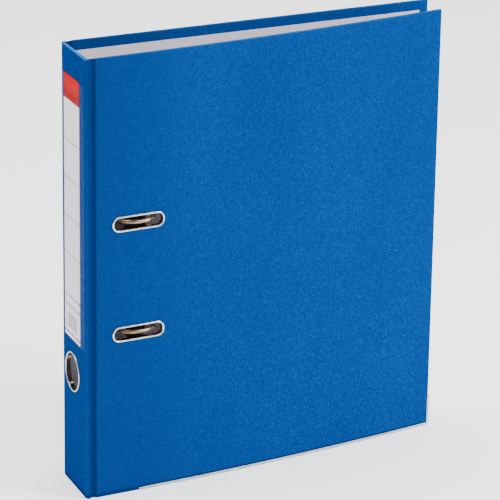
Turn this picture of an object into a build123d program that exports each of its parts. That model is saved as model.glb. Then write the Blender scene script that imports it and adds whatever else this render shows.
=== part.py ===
from build123d import *

import os
from math import cos, radians, sin

# A lever arch file for A4 sheets, standing closed on its bottom edges.
# Millimetres. +Z is up, -Y is the side of the front cover, -X is the side of the spine.
# The origin is the middle of the bounding box's bottom.

# ---- covers and spine -------------------------------------------------------------------
height = 318.0  # boards, from the floor to the top edge
cover_width = 285.0  # spine's outer face to the fore edge
spine_width = 50.3  # outside of the back cover to outside of the front cover
spine_lean = 4.2  # degrees that the closed spine leans out of square
bow_radius = 2056.0  # the front cover is sprung into this arc
covering = 0.3  # coated blue paper round the boards
board = 1.9  # grey board
lining = 0.2  # pale paper on the inner faces
cover = covering + board + lining
turn_in = 7.0  # width of covering folded over onto the inner face
corner_round = 1.2  # outer corners of the spine
hinge_end = 8.0  # spine's outer face to where a cover's board starts
groove_depth = 1.2  # how far the flexible hinge lies under the outer face
hinge_strip = 0.7
rail_sheet = 0.4  # edge rails along the bottom
rail_start = 40.0
rail_outer_lip = 2.2
rail_inner_lip = 4.0
rail_tab = 24.0  # rail's end, turned up along the fore edge
rail_tab_lap = 1.2

# ---- slots in the front cover ---------------------------------------------------------
ring_spacing = 80.0
slot_from_spine = 39.4
slot_z = 159.4  # middle between the two slots
slot_length, slot_height = 36.6, 8.5
slot_round = 3.9
slot_rim = 1.9  # width of the rolled rim round the opening
rim_rise, rim_edge = 1.1, 0.85
barrel_wall = 0.5
backing_sheet, backing_play = 0.6, 0.12

# ---- finger ring and label on the spine -------------------------------------------------
finger_z = 85.7
finger_from_back = 21.7
finger_bore = 13.3  # radius
finger_rim = 14.7  # radius
finger_barrel = 13.8  # radius
finger_rise, finger_edge = 0.9, 0.6
label_z, label_height = 110.3, 189.0
label_middle, label_width = 23.25, 30.9  # from the back corner
card, card_lift = 0.35, 0.15
film = 0.25
pocket_rise = 0.9
pocket_width = 46.0
pocket_seam, pocket_play = 1.2, 0.3

# ---- mechanism, measured from the middle of the rings and up from the back lining -------
mechanism_z = 158.8
plate_left, plate_right, plate_length = 8.5, 60.5, 154.0
sheet = 0.9
plateau = 2.6
plateau_margin = 3.0
plateau_length = 124.0
plate_round = 6.0
draft = 35.0
rivet_inset, rivet_z = 6.0, 70.0
rivet_radius, rivet_head_radius, rivet_head = 2.0, 3.6, 0.8
rod_x, rod_h = 23.0, 7.5  # axis on which the arch wire turns
wire = 1.6  # radius of the arch wire
arch_top = 45.4  # centre of the wire over the lining
arch_bend = 13.0
post_x, post_radius, post_top = 52.5, 2.5, 30.0
socket_radius, socket_depth = 1.9, 2.5
spigot_radius, collar_radius, collar, post_edge = 1.5, 3.6, 0.8, 0.4
arch_end = 30.4
nose_radius, nose_length = 0.8, 1.5
crank_reach, crank_angle, crank_z = 8.0, 21.0, 14.0
foot_bend, crank_bend = 4.0, 3.0
running = 0.05  # radial clearance of a turning fit
lug_radius, lug_width = 3.0, 5.0
lug_places = (-32.0, -22.0, 26.0, 33.0)
pivot_z, pivot_h = -6.0, 16.8  # lever pin
pin_radius, pin_head_radius, pin_head = 1.5, 2.4, 0.8
roller_reach, roller_radius, roller_length = 5.0, 3.0, 8.4
cheek_outside = 5.4  # lever's middle to the outside of its cheeks
cheek = 1.0
cheek_front, cheek_deep, cheek_round = 8.4, 3.6, 2.6
web_over_pin, web_front = 2.8, 1.5
axle_radius = 1.5
ear_gap, ear, ear_width = 0.2, 1.0, 8.0
arm_lip = 2.0
arm_end, grip_length, grip_rise, grip_bow, grip_round = -70.0, 21.0, 6.0, 1.8, 5.0
grip_left, grip_right = -0.6, 13.0  # the finger grip's sides, from the lever's middle
arm_neck, neck_low, neck_high = -0.6, -50.0, -24.0  # the arm is narrowed to pass the lower arch
spring_start, spring_end = 16.6, 22.6
spring_inner, spring_outer = 1.9, 2.9
bar_width, bar_length, bar_rest, bar_round = 14.0, 124.0, 3.8, 5.0
bar_hole = 2.9
bar_lip = 3.0
bush_radius, bush_height = 4.4, 6.0

# ---- places that follow from the sizes above ----------------------------------------------
lean_sin, lean_cos = sin(radians(spine_lean)), cos(radians(spine_lean))
slot_bow = slot_from_spine**2 / (2 * bow_radius)
left_side = spine_width * lean_sin
right_side = cover_width + rail_sheet
front_side = spine_width * lean_cos - slot_bow + rim_rise
corner_x = (left_side - right_side) / 2
corner_y = (front_side - rivet_head) / 2
front_x = corner_x - spine_width * lean_sin
front_y = corner_y - spine_width * lean_cos
seat_y = corner_y - cover
foot = rail_sheet
board_low, board_high = foot + covering, height - covering
lining_low, lining_high = foot + turn_in, height - turn_in
lever_x = rod_x - crank_reach * cos(radians(crank_angle))
crank_h = rod_h + crank_reach * sin(radians(crank_angle))
half_wire = (arch_bend, arch_bend, foot_bend, crank_bend, crank_bend)
arch_radii = half_wire + half_wire[::-1]


def spine_point(along, inward):
    """A place on the spine: along from the back corner to the front, inward from its outer face."""
    x = corner_x - along * lean_sin + inward * lean_cos
    y = corner_y - along * lean_cos - inward * lean_sin
    return (x, y)


def front_point(along, inward):
    """A place on the bowed front cover: along from the spine, inward from its outer face."""
    turn = along / bow_radius
    x = front_x + (bow_radius - inward) * sin(turn)
    y = front_y + bow_radius - (bow_radius - inward) * cos(turn)
    return (x, y)


def front_band(near, far, outer, inner):
    """The closed outline of a layer of the front cover, for the BuildLine that is open."""
    middle = (near + far) / 2
    ThreePointArc(front_point(near, outer), front_point(middle, outer), front_point(far, outer))
    Line(front_point(far, outer), front_point(far, inner))
    ThreePointArc(front_point(far, inner), front_point(middle, inner), front_point(near, inner))
    Line(front_point(near, inner), front_point(near, outer))


def back_plane(low):
    """A level plane with its origin at the spine's back corner."""
    return Plane(origin=(corner_x, corner_y, low), x_dir=(1, 0, 0), z_dir=(0, 0, 1))


def spine_plane(low):
    """A level plane at the back corner, +X inwards from the spine's face and -Y towards the front."""
    return Plane(origin=(corner_x, corner_y, low), x_dir=(lean_cos, -lean_sin, 0), z_dir=(0, 0, 1))


def spine_face(along, z, inward=0.0):
    """A plane on the spine, looking outwards, with +Y up."""
    x, y = spine_point(along, inward)
    return Plane(origin=(x, y, z), x_dir=(-lean_sin, -lean_cos, 0), z_dir=(-lean_cos, lean_sin, 0))


def slot_face(z, inward=0.0):
    """A plane on the front cover at a slot, looking outwards, with +Y up."""
    turn = slot_from_spine / bow_radius
    x, y = front_point(slot_from_spine, inward)
    return Plane(origin=(x, y, z), x_dir=(cos(turn), sin(turn), 0), z_dir=(sin(turn), -cos(turn), 0))


def slot_shape(extra, mode=Mode.ADD):
    """A slot's outline grown by extra, for the sketch that is open."""
    RectangleRounded(slot_length + 2 * extra, slot_height + 2 * extra, slot_round + extra, mode=mode)


def seat(h=0.0):
    """A plane over the back lining, looking to the front, with +Y up and its origin at the rings' height."""
    return Plane(origin=(corner_x, seat_y - h, mechanism_z), x_dir=(1, 0, 0), z_dir=(0, -1, 0))


def side(x):
    """A plane across the mechanism: its X is up the file and its Y is away from the back cover."""
    return Plane(origin=(corner_x + x, seat_y, mechanism_z), x_dir=(0, 0, 1), z_dir=(1, 0, 0))


def place(x, h, z):
    """A place in the mechanism, in the model's frame."""
    return (corner_x + x, seat_y - h, mechanism_z + z)


def finish(part, name):
    """Names a piece and writes it."""
    part.label = name
    export_step(part, "parts/" + name + ".step")


os.makedirs("parts", exist_ok=True)
slots = {"upper": slot_z + ring_spacing / 2, "lower": slot_z - ring_spacing / 2}
rings = {"upper": ring_spacing / 2, "lower": -ring_spacing / 2}

# ---- back cover -----------------------------------------------------------------------------
with BuildPart() as back_board:
    with BuildSketch(back_plane(board_low)):
        with Locations((hinge_end, -covering - board)):
            Rectangle(cover_width - covering - hinge_end, board, align=Align.MIN)
    extrude(amount=board_high - board_low)
    with BuildSketch(seat(-cover)):
        with Locations(((plate_left + plate_right) / 2, 0)):
            with GridLocations(plate_right - plate_left - 2 * rivet_inset, 2 * rivet_z, 2, 2):
                Circle(rivet_radius)
    extrude(amount=cover, mode=Mode.SUBTRACT)
finish(back_board.part, "back_board")

with BuildPart() as back_covering:
    with BuildSketch(back_plane(foot)):
        with Locations((hinge_end, -cover)):
            Rectangle(cover_width - hinge_end, cover, align=Align.MIN)
    extrude(amount=height - foot)
    with BuildSketch(back_plane(board_low)):
        with Locations((hinge_end, -covering - board)):
            Rectangle(cover_width - covering - hinge_end, board, align=Align.MIN)
    extrude(amount=board_high - board_low, mode=Mode.SUBTRACT)
    with BuildSketch(back_plane(lining_low)):
        with Locations((hinge_end, -cover)):
            Rectangle(cover_width - turn_in - hinge_end, lining, align=Align.MIN)
    extrude(amount=lining_high - lining_low, mode=Mode.SUBTRACT)
    with BuildSketch(seat(-cover)):
        with Locations(((plate_left + plate_right) / 2, 0)):
            with GridLocations(plate_right - plate_left - 2 * rivet_inset, 2 * rivet_z, 2, 2):
                Circle(rivet_radius)
    extrude(amount=cover, mode=Mode.SUBTRACT)
finish(back_covering.part, "back_covering")

with BuildPart() as back_lining:
    with BuildSketch(back_plane(lining_low)):
        with Locations((hinge_end, -cover)):
            Rectangle(cover_width - turn_in - hinge_end, lining, align=Align.MIN)
    extrude(amount=lining_high - lining_low)
    with BuildSketch(seat(-cover)):
        with Locations(((plate_left + plate_right) / 2, 0)):
            with GridLocations(plate_right - plate_left - 2 * rivet_inset, 2 * rivet_z, 2, 2):
                Circle(rivet_radius)
    extrude(amount=cover, mode=Mode.SUBTRACT)
finish(back_lining.part, "back_lining")

# A folded steel rail keeps the bottom edge from wearing. Its end turns up the fore edge.
with BuildPart() as back_edge_rail:
    rail_run = cover_width + rail_sheet - rail_start
    with BuildSketch(back_plane(0)):
        with Locations((rail_start, -cover - rail_sheet)):
            Rectangle(rail_run, cover + 2 * rail_sheet, align=Align.MIN)
    extrude(amount=rail_sheet)
    with BuildSketch(back_plane(0)):
        with Locations((rail_start, 0)):
            Rectangle(rail_run, rail_sheet, align=Align.MIN)
    extrude(amount=rail_outer_lip)
    with BuildSketch(back_plane(0)):
        with Locations((rail_start, -cover - rail_sheet)):
            Rectangle(rail_run, rail_sheet, align=Align.MIN)
    extrude(amount=rail_inner_lip)
    with BuildSketch(back_plane(0)):
        with Locations((cover_width, -cover - rail_sheet)):
            Rectangle(rail_sheet, cover + 2 * rail_sheet, align=Align.MIN)
        with Locations((cover_width - rail_tab_lap, 0)):
            Rectangle(rail_tab_lap + rail_sheet, rail_sheet, align=Align.MIN)
    extrude(amount=rail_tab)
finish(back_edge_rail.part, "back_edge_rail")

# ---- spine ----------------------------------------------------------------------------------
outwards = Axis((corner_x, corner_y, 0), (-lean_cos, lean_sin, 0))
with BuildPart() as spine_board:
    with BuildSketch(spine_plane(board_low)) as board_outline:
        with Locations((covering, -covering)):
            Rectangle(board, spine_width - 2 * covering, align=(Align.MIN, Align.MAX))
        fillet(board_outline.vertices().group_by(outwards)[-1], corner_round - covering)
    extrude(amount=board_high - board_low)
    with BuildSketch(spine_face(finger_from_back, finger_z, cover)):
        Circle(finger_barrel)
    extrude(amount=cover, mode=Mode.SUBTRACT)
finish(spine_board.part, "spine_board")

with BuildPart() as spine_covering:
    with BuildSketch(spine_plane(foot)) as spine_outline:
        Rectangle(cover, spine_width, align=(Align.MIN, Align.MAX))
        fillet(spine_outline.vertices().group_by(outwards)[-1], corner_round)
    extrude(amount=height - foot)
    with BuildSketch(spine_plane(board_low)) as board_outline:
        with Locations((covering, -covering)):
            Rectangle(board, spine_width - 2 * covering, align=(Align.MIN, Align.MAX))
        fillet(board_outline.vertices().group_by(outwards)[-1], corner_round - covering)
    extrude(amount=board_high - board_low, mode=Mode.SUBTRACT)
    with BuildSketch(spine_plane(lining_low)):
        with Locations((covering + board, -covering)):
            Rectangle(lining, spine_width - 2 * covering, align=(Align.MIN, Align.MAX))
    extrude(amount=lining_high - lining_low, mode=Mode.SUBTRACT)
    with BuildSketch(spine_face(finger_from_back, finger_z, cover)):
        Circle(finger_barrel)
    extrude(amount=cover, mode=Mode.SUBTRACT)
finish(spine_covering.part, "spine_covering")

with BuildPart() as spine_lining:
    with BuildSketch(spine_plane(lining_low)):
        with Locations((covering + board, -covering)):
            Rectangle(lining, spine_width - 2 * covering, align=(Align.MIN, Align.MAX))
    extrude(amount=lining_high - lining_low)
    with BuildSketch(spine_face(finger_from_back, finger_z, cover)):
        Circle(finger_barrel)
    extrude(amount=cover, mode=Mode.SUBTRACT)
finish(spine_lining.part, "spine_lining")

# The finger ring is a rolled eyelet, clenched over a washer on the inside.
with BuildPart() as finger_ring:
    with BuildSketch(spine_face(finger_from_back, finger_z, cover + backing_sheet)):
        Circle(finger_barrel)
        Circle(finger_bore, mode=Mode.SUBTRACT)
    extrude(amount=cover + backing_sheet)
    with BuildSketch(spine_face(finger_from_back, finger_z)):
        Circle(finger_rim)
        Circle(finger_bore, mode=Mode.SUBTRACT)
    extrude(amount=finger_rise)
    fillet(finger_ring.edges().group_by(outwards)[-1], finger_edge)
finish(finger_ring.part, "finger_ring")

with BuildPart() as finger_ring_washer:
    with BuildSketch(spine_face(finger_from_back, finger_z, cover + backing_sheet)):
        Circle(finger_rim)
        Circle(finger_barrel, mode=Mode.SUBTRACT)
    extrude(amount=backing_sheet)
finish(finger_ring_washer.part, "finger_ring_washer")

# Clear film welded to the spine, with a channel for the label that is open at the top.
with BuildPart() as label_pocket:
    with BuildSketch(spine_face(spine_width / 2, label_z - pocket_seam)):
        Rectangle(pocket_width, label_height, align=(Align.CENTER, Align.MIN))
    extrude(amount=film)
    with BuildSketch(spine_face(label_middle, label_z - pocket_seam)):
        Rectangle(label_width + 2 * pocket_seam, label_height, align=(Align.CENTER, Align.MIN))
    extrude(amount=pocket_rise)
    with BuildSketch(spine_face(label_middle, label_z - pocket_play)):
        Rectangle(label_width + 2 * pocket_play, label_height, align=(Align.CENTER, Align.MIN))
    extrude(amount=pocket_rise - film, mode=Mode.SUBTRACT)
finish(label_pocket.part, "label_pocket")

with BuildPart() as label_card:
    with BuildSketch(spine_face(label_middle, label_z, -card_lift)):
        Rectangle(label_width, label_height, align=(Align.CENTER, Align.MIN))
    extrude(amount=card)
finish(label_card.part, "label_card")

# The covering and lining run on without board between spine and covers, as flexible hinges.
with BuildPart() as front_hinge_strip:
    with BuildSketch(Plane.XY.offset(foot)):
        with BuildLine():
            Polyline(
                spine_point(spine_width - groove_depth, cover),
                spine_point(spine_width - groove_depth - hinge_strip, cover),
                front_point(hinge_end, groove_depth + hinge_strip),
                front_point(hinge_end, groove_depth),
                close=True,
            )
        make_face()
    extrude(amount=height - foot)
finish(front_hinge_strip.part, "front_hinge_strip")

with BuildPart() as back_hinge_strip:
    with BuildSketch(Plane.XY.offset(foot)):
        with BuildLine():
            Polyline(
                spine_point(groove_depth, cover),
                spine_point(groove_depth + hinge_strip, cover),
                (corner_x + hinge_end, corner_y - groove_depth - hinge_strip),
                (corner_x + hinge_end, corner_y - groove_depth),
                close=True,
            )
        make_face()
    extrude(amount=height - foot)
finish(back_hinge_strip.part, "back_hinge_strip")

# ---- front cover ------------------------------------------------------------------------------
with BuildPart() as front_board:
    with BuildSketch(Plane.XY.offset(board_low)):
        with BuildLine():
            front_band(hinge_end, cover_width - covering, covering, covering + board)
        make_face()
    extrude(amount=board_high - board_low)
    for z in slots.values():
        with BuildSketch(slot_face(z, cover + barrel_wall)):
            slot_shape(barrel_wall)
        extrude(amount=cover + 2 * barrel_wall, mode=Mode.SUBTRACT)
finish(front_board.part, "front_board")

with BuildPart() as front_covering:
    with BuildSketch(Plane.XY.offset(foot)):
        with BuildLine():
            front_band(hinge_end, cover_width, 0, cover)
        make_face()
    extrude(amount=height - foot)
    with BuildSketch(Plane.XY.offset(board_low)):
        with BuildLine():
            front_band(hinge_end, cover_width - covering, covering, covering + board)
        make_face()
    extrude(amount=board_high - board_low, mode=Mode.SUBTRACT)
    with BuildSketch(Plane.XY.offset(lining_low)):
        with BuildLine():
            front_band(hinge_end, cover_width - turn_in, covering + board, cover)
        make_face()
    extrude(amount=lining_high - lining_low, mode=Mode.SUBTRACT)
    for z in slots.values():
        with BuildSketch(slot_face(z, cover + barrel_wall)):
            slot_shape(barrel_wall)
        extrude(amount=cover + 2 * barrel_wall, mode=Mode.SUBTRACT)
finish(front_covering.part, "front_covering")

with BuildPart() as front_lining:
    with BuildSketch(Plane.XY.offset(lining_low)):
        with BuildLine():
            front_band(hinge_end, cover_width - turn_in, covering + board, cover)
        make_face()
    extrude(amount=lining_high - lining_low)
    for z in slots.values():
        with BuildSketch(slot_face(z, cover + barrel_wall)):
            slot_shape(barrel_wall)
        extrude(amount=cover + 2 * barrel_wall, mode=Mode.SUBTRACT)
finish(front_lining.part, "front_lining")

with BuildPart() as front_edge_rail:
    rail_end = cover_width + rail_sheet
    with BuildSketch(Plane.XY):
        with BuildLine():
            front_band(rail_start, rail_end, -rail_sheet, cover + rail_sheet)
        make_face()
    extrude(amount=rail_sheet)
    with BuildSketch(Plane.XY):
        with BuildLine():
            front_band(rail_start, rail_end, -rail_sheet, 0)
        make_face()
    extrude(amount=rail_outer_lip)
    with BuildSketch(Plane.XY):
        with BuildLine():
            front_band(rail_start, rail_end, cover, cover + rail_sheet)
        make_face()
    extrude(amount=rail_inner_lip)
    with BuildSketch(Plane.XY):
        with BuildLine():
            front_band(cover_width, rail_end, -rail_sheet, cover + rail_sheet)
        make_face()
    extrude(amount=rail_tab)
    with BuildSketch(Plane.XY):
        with BuildLine():
            front_band(cover_width - rail_tab_lap, rail_end, -rail_sheet, 0)
        make_face()
    extrude(amount=rail_tab)
finish(front_edge_rail.part, "front_edge_rail")

# Each slot has a rolled eyelet outside and a backing ring inside, which its barrel is clenched over.
towards_front = Axis((front_x, front_y, slot_z), slot_face(slot_z).z_dir)
for name, z in slots.items():
    with BuildPart() as slot_eyelet:
        with BuildSketch(slot_face(z, cover + backing_sheet)):
            slot_shape(barrel_wall)
            slot_shape(0, Mode.SUBTRACT)
        extrude(amount=cover + backing_sheet)
        with BuildSketch(slot_face(z)):
            slot_shape(slot_rim)
            slot_shape(0, Mode.SUBTRACT)
        extrude(amount=rim_rise)
        fillet(slot_eyelet.edges().group_by(towards_front)[-1], rim_edge)
    finish(slot_eyelet.part, name + "_slot_eyelet")

    with BuildPart() as slot_backing:
        with BuildSketch(slot_face(z, cover + backing_sheet)):
            slot_shape(slot_rim)
            slot_shape(barrel_wall, Mode.SUBTRACT)
        extrude(amount=backing_sheet - backing_play)
    finish(slot_backing.part, name + "_slot_backing")

# ---- base plate of the mechanism ----------------------------------------------------------------
plate_middle = (plate_left + plate_right) / 2
plate_width = plate_right - plate_left
with BuildPart() as base_plate:
    with BuildSketch(seat()):
        with Locations((plate_middle, 0)):
            RectangleRounded(plate_width, plate_length, plate_round)
    extrude(amount=sheet)
    with BuildSketch(seat(sheet)):
        with Locations((plate_middle, 0)):
            RectangleRounded(plate_width - 2 * plateau_margin, plateau_length, plate_round)
    extrude(amount=plateau - sheet, taper=draft)
    with BuildSketch(seat()):
        with Locations((plate_middle, 0)):
            RectangleRounded(plate_width - 2 * plateau_margin - sheet, plateau_length - sheet, plate_round)
    extrude(amount=plateau - sheet, taper=draft, mode=Mode.SUBTRACT)
    # rolled lugs hold the arch wire
    for z in lug_places:
        with BuildSketch(Plane(origin=place(rod_x, rod_h, z - lug_width / 2))):
            Circle(lug_radius)
            with Locations((0, (rod_h - plateau) / 2)):
                Rectangle(2 * lug_radius, rod_h - plateau)
        extrude(amount=lug_width)
        with BuildSketch(Plane(origin=place(rod_x, rod_h, z - lug_width / 2))):
            Circle(wire + running)
        extrude(amount=lug_width, mode=Mode.SUBTRACT)
    # two ears carry the lever's pin
    left_ear, right_ear = lever_x - cheek_outside - ear_gap - ear, lever_x + cheek_outside + ear_gap
    for x, low in ((left_ear, sheet), (right_ear, plateau)):
        with BuildSketch(side(x)):
            with Locations((pivot_z, pivot_h)):
                Circle(ear_width / 2)
            with Locations((pivot_z, (pivot_h + low) / 2)):
                Rectangle(ear_width, pivot_h - low)
        extrude(amount=ear)
    with BuildSketch(side(left_ear)):
        with Locations((pivot_z, pivot_h)):
            Circle(pin_radius)
    extrude(amount=2 * (cheek_outside + ear_gap + ear), mode=Mode.SUBTRACT)
    with BuildSketch(seat()):
        with Locations((plate_middle, 0)):
            with GridLocations(plate_width - 2 * rivet_inset, 2 * rivet_z, 2, 2):
                Circle(rivet_radius)
        with Locations(*[(post_x, z) for z in rings.values()]):
            Circle(spigot_radius)
    extrude(amount=plateau, mode=Mode.SUBTRACT)
finish(base_plate.part, "base_plate")

with BuildPart() as plate_rivets:
    with BuildSketch(seat(-cover - rivet_head)):
        with Locations((plate_middle, 0)):
            with GridLocations(plate_width - 2 * rivet_inset, 2 * rivet_z, 2, 2):
                Circle(rivet_head_radius)
    extrude(amount=rivet_head)
    fillet(plate_rivets.edges().group_by(Axis.Y)[-1], rivet_head / 2)
    with BuildSketch(seat(-cover)):
        with Locations((plate_middle, 0)):
            with GridLocations(plate_width - 2 * rivet_inset, 2 * rivet_z, 2, 2):
                Circle(rivet_radius)
    extrude(amount=cover + sheet)
    with BuildSketch(seat(sheet)):
        with Locations((plate_middle, 0)):
            with GridLocations(plate_width - 2 * rivet_inset, 2 * rivet_z, 2, 2):
                Circle(rivet_head_radius - rivet_head)
    extrude(amount=rivet_head)
    fillet(plate_rivets.edges().group_by(Axis.Y)[0], rivet_head / 2)
finish(plate_rivets.part, "plate_rivets")

# Fixed posts: each has a collar, a spigot peened through the plate and a socket for the arch's nose.
for name, z in rings.items():
    with BuildPart() as post:
        with BuildSketch(seat(sheet)):
            with Locations((post_x, z)):
                Circle(spigot_radius)
        extrude(amount=plateau - sheet)
        with BuildSketch(seat(plateau)):
            with Locations((post_x, z)):
                Circle(collar_radius)
        extrude(amount=collar)
        with BuildSketch(seat(plateau)):
            with Locations((post_x, z)):
                Circle(post_radius)
        extrude(amount=post_top - plateau)
        chamfer(post.edges().group_by(Axis.Y)[0], post_edge)
        with BuildSketch(seat(post_top - socket_depth)):
            with Locations((post_x, z)):
                Circle(socket_radius)
        extrude(amount=socket_depth, mode=Mode.SUBTRACT)
    finish(post.part, name + "_post")

with BuildPart() as lever_pin:
    pin_reach = cheek_outside + ear_gap + ear
    with BuildSketch(side(lever_x - pin_reach - pin_head)):
        with Locations((pivot_z, pivot_h)):
            Circle(pin_head_radius)
    extrude(amount=pin_head)
    with BuildSketch(side(lever_x - pin_reach)):
        with Locations((pivot_z, pivot_h)):
            Circle(pin_radius)
    extrude(amount=2 * pin_reach)
    with BuildSketch(side(lever_x + pin_reach)):
        with Locations((pivot_z, pivot_h)):
            Circle(pin_head_radius)
    extrude(amount=pin_head)
    fillet(lever_pin.edges().group_by(Axis.X)[0], pin_head / 2)
    fillet(lever_pin.edges().group_by(Axis.X)[-1], pin_head / 2)
finish(lever_pin.part, "lever_pin")

# A closing spring is wound round the arch wire between the crank and a lug.
with BuildPart() as arch_spring:
    with BuildSketch(Plane(origin=place(rod_x, rod_h, spring_start))):
        Circle(spring_outer)
        Circle(spring_inner, mode=Mode.SUBTRACT)
    extrude(amount=spring_end - spring_start)
finish(arch_spring.part, "arch_spring")

# ---- arch wire: both arches, the rod they turn on and the crank are one bent wire ----------------------
ring = ring_spacing / 2
with BuildPart() as arch_wire:
    with BuildLine():
        FilletPolyline(
            place(post_x, arch_end, ring),
            place(post_x, arch_top, ring),
            place(rod_x, arch_top, ring),
            place(rod_x, rod_h, ring),
            place(rod_x, rod_h, crank_z),
            place(lever_x, crank_h, crank_z),
            place(lever_x, crank_h, -crank_z),
            place(rod_x, rod_h, -crank_z),
            place(rod_x, rod_h, -ring),
            place(rod_x, arch_top, -ring),
            place(post_x, arch_top, -ring),
            place(post_x, arch_end, -ring),
            radius=arch_radii,
        )
    with BuildSketch(Plane(origin=place(post_x, arch_end, ring), z_dir=(0, -1, 0))):
        Circle(wire)
    sweep()
    for z in rings.values():
        with BuildSketch(Plane(origin=place(post_x, arch_end, z), z_dir=(0, 1, 0))):
            Circle(wire)
        with BuildSketch(Plane(origin=place(post_x, arch_end - nose_length, z), z_dir=(0, 1, 0))):
            Circle(nose_radius)
        loft()
finish(arch_wire.part, "arch_wire")

# ---- lever, with its roller ------------------------------------------------------------------------------
with BuildPart() as lever_arm:
    web_low = pivot_h + web_over_pin
    web_high = web_low + cheek
    # the finger grip curls away from the back cover
    with BuildSketch(side(lever_x + grip_left)):
        with BuildLine():
            tip = arm_end - grip_length
            bow = (arm_end + tip) / 2
            ThreePointArc((arm_end, web_low), (bow, web_low + grip_bow), (tip, web_low + grip_rise))
            Line((tip, web_low + grip_rise), (tip, web_high + grip_rise))
            ThreePointArc((tip, web_high + grip_rise), (bow, web_high + grip_bow), (arm_end, web_high))
            Line((arm_end, web_high), (arm_end, web_low))
        make_face()
    extrude(amount=grip_right - grip_left)
    with BuildSketch(seat(web_low)):
        with Locations((lever_x + (grip_left + grip_right) / 2, tip)):
            RectangleRounded(grip_right - grip_left, 2 * grip_length, grip_round)
    extrude(amount=grip_rise + 2 * cheek, mode=Mode.INTERSECT)
    # the cheeks carry the pin and the roller's axle; the left one stiffens the whole arm
    for x, low in ((lever_x - cheek_outside, arm_end), (lever_x + cheek_outside - cheek, neck_high)):
        with BuildSketch(side(x)):
            with BuildLine():
                FilletPolyline(
                    (low, web_high),
                    (pivot_z + cheek_front, web_high),
                    (pivot_z + cheek_front, pivot_h - cheek_deep),
                    (pivot_z - cheek_deep, pivot_h - cheek_deep),
                    (pivot_z - 3 * cheek_deep, web_low - arm_lip),
                    (low, web_low - arm_lip),
                    radius=cheek_round,
                )
                Line((low, web_low - arm_lip), (low, web_high))
            make_face()
        extrude(amount=cheek)
    with BuildSketch(side(lever_x + arm_neck - cheek)):
        with Locations((arm_end, web_low - arm_lip)):
            Rectangle(neck_high - arm_end, arm_lip + cheek, align=Align.MIN)
    extrude(amount=cheek)
    with BuildSketch(seat(web_low)):
        with BuildLine():
            Polyline(
                (lever_x - cheek_outside, arm_end),
                (lever_x - cheek_outside, pivot_z + web_front),
                (lever_x + cheek_outside, pivot_z + web_front),
                (lever_x + cheek_outside, neck_high),
                (lever_x + arm_neck, neck_high - cheek_outside),
                (lever_x + arm_neck, neck_low - cheek_outside),
                (lever_x + grip_right, arm_end),
                close=True,
            )
        make_face()
    extrude(amount=cheek)
    with BuildSketch(side(lever_x - cheek_outside)):
        with Locations((pivot_z, pivot_h)):
            Circle(pin_radius + running)
        with Locations((pivot_z + roller_reach, pivot_h)):
            Circle(axle_radius)
    extrude(amount=2 * cheek_outside, mode=Mode.SUBTRACT)
finish(lever_arm.part, "lever_arm")

with BuildPart() as roller_axle:
    with BuildSketch(side(lever_x - cheek_outside)):
        with Locations((pivot_z + roller_reach, pivot_h)):
            Circle(axle_radius)
    extrude(amount=2 * cheek_outside)
finish(roller_axle.part, "roller_axle")

with BuildPart() as roller:
    with BuildSketch(side(lever_x - roller_length / 2)):
        with Locations((pivot_z + roller_reach, pivot_h)):
            Circle(roller_radius)
            Circle(axle_radius + running, mode=Mode.SUBTRACT)
    extrude(amount=roller_length)
finish(roller.part, "roller")

# ---- compressor bar, which slides on the posts and holds the sheets down -----------------------------------
with BuildPart() as compressor_bar:
    with BuildSketch(seat(bar_rest)):
        with Locations((post_x, 0)):
            RectangleRounded(bar_width, bar_length, bar_round)
    extrude(amount=sheet)
    with BuildSketch(seat(bar_rest)):
        with Locations((post_x + bar_width / 2 - sheet / 2, 0)):
            Rectangle(sheet, bar_length - 2 * bar_round)
    extrude(amount=bar_lip)
    with BuildSketch(seat(bar_rest)):
        with Locations(*[(post_x, z) for z in rings.values()]):
            Circle(bar_hole)
    extrude(amount=sheet, mode=Mode.SUBTRACT)
finish(compressor_bar.part, "compressor_bar")

with BuildPart() as compressor_bushes:
    with BuildSketch(seat(bar_rest + sheet)):
        with Locations(*[(post_x, z) for z in rings.values()]):
            Circle(bush_radius)
            Circle(post_radius + running, mode=Mode.SUBTRACT)
    extrude(amount=bush_height)
finish(compressor_bushes.part, "compressor_bushes")
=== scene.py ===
import logging
import math
from dataclasses import dataclass, field
from enum import Enum
from typing import Callable

import bmesh
import bpy
from mathutils import Matrix, Vector


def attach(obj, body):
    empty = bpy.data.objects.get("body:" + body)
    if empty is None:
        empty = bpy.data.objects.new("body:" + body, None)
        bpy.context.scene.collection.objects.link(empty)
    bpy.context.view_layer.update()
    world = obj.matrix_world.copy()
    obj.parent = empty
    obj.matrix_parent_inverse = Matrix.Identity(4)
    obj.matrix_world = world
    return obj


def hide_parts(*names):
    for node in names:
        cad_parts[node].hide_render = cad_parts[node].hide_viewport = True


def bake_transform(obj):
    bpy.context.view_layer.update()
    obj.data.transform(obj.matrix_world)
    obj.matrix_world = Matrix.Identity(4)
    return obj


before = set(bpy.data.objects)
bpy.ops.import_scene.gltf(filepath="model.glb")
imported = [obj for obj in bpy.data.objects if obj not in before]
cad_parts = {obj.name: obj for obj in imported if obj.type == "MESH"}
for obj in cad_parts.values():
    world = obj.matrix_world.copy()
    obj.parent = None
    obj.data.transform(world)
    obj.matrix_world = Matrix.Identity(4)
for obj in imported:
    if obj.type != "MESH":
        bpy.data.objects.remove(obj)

log = logging.getLogger("lever_arch_file")
MM = 0.001
PER_METRE = 1000.0  # millimetres in a metre

Pair = tuple[Vector, Vector]
Place = Callable[[float, float], Vector]
Size = tuple[float, float, float]
Socket = bpy.types.NodeSocket

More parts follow.
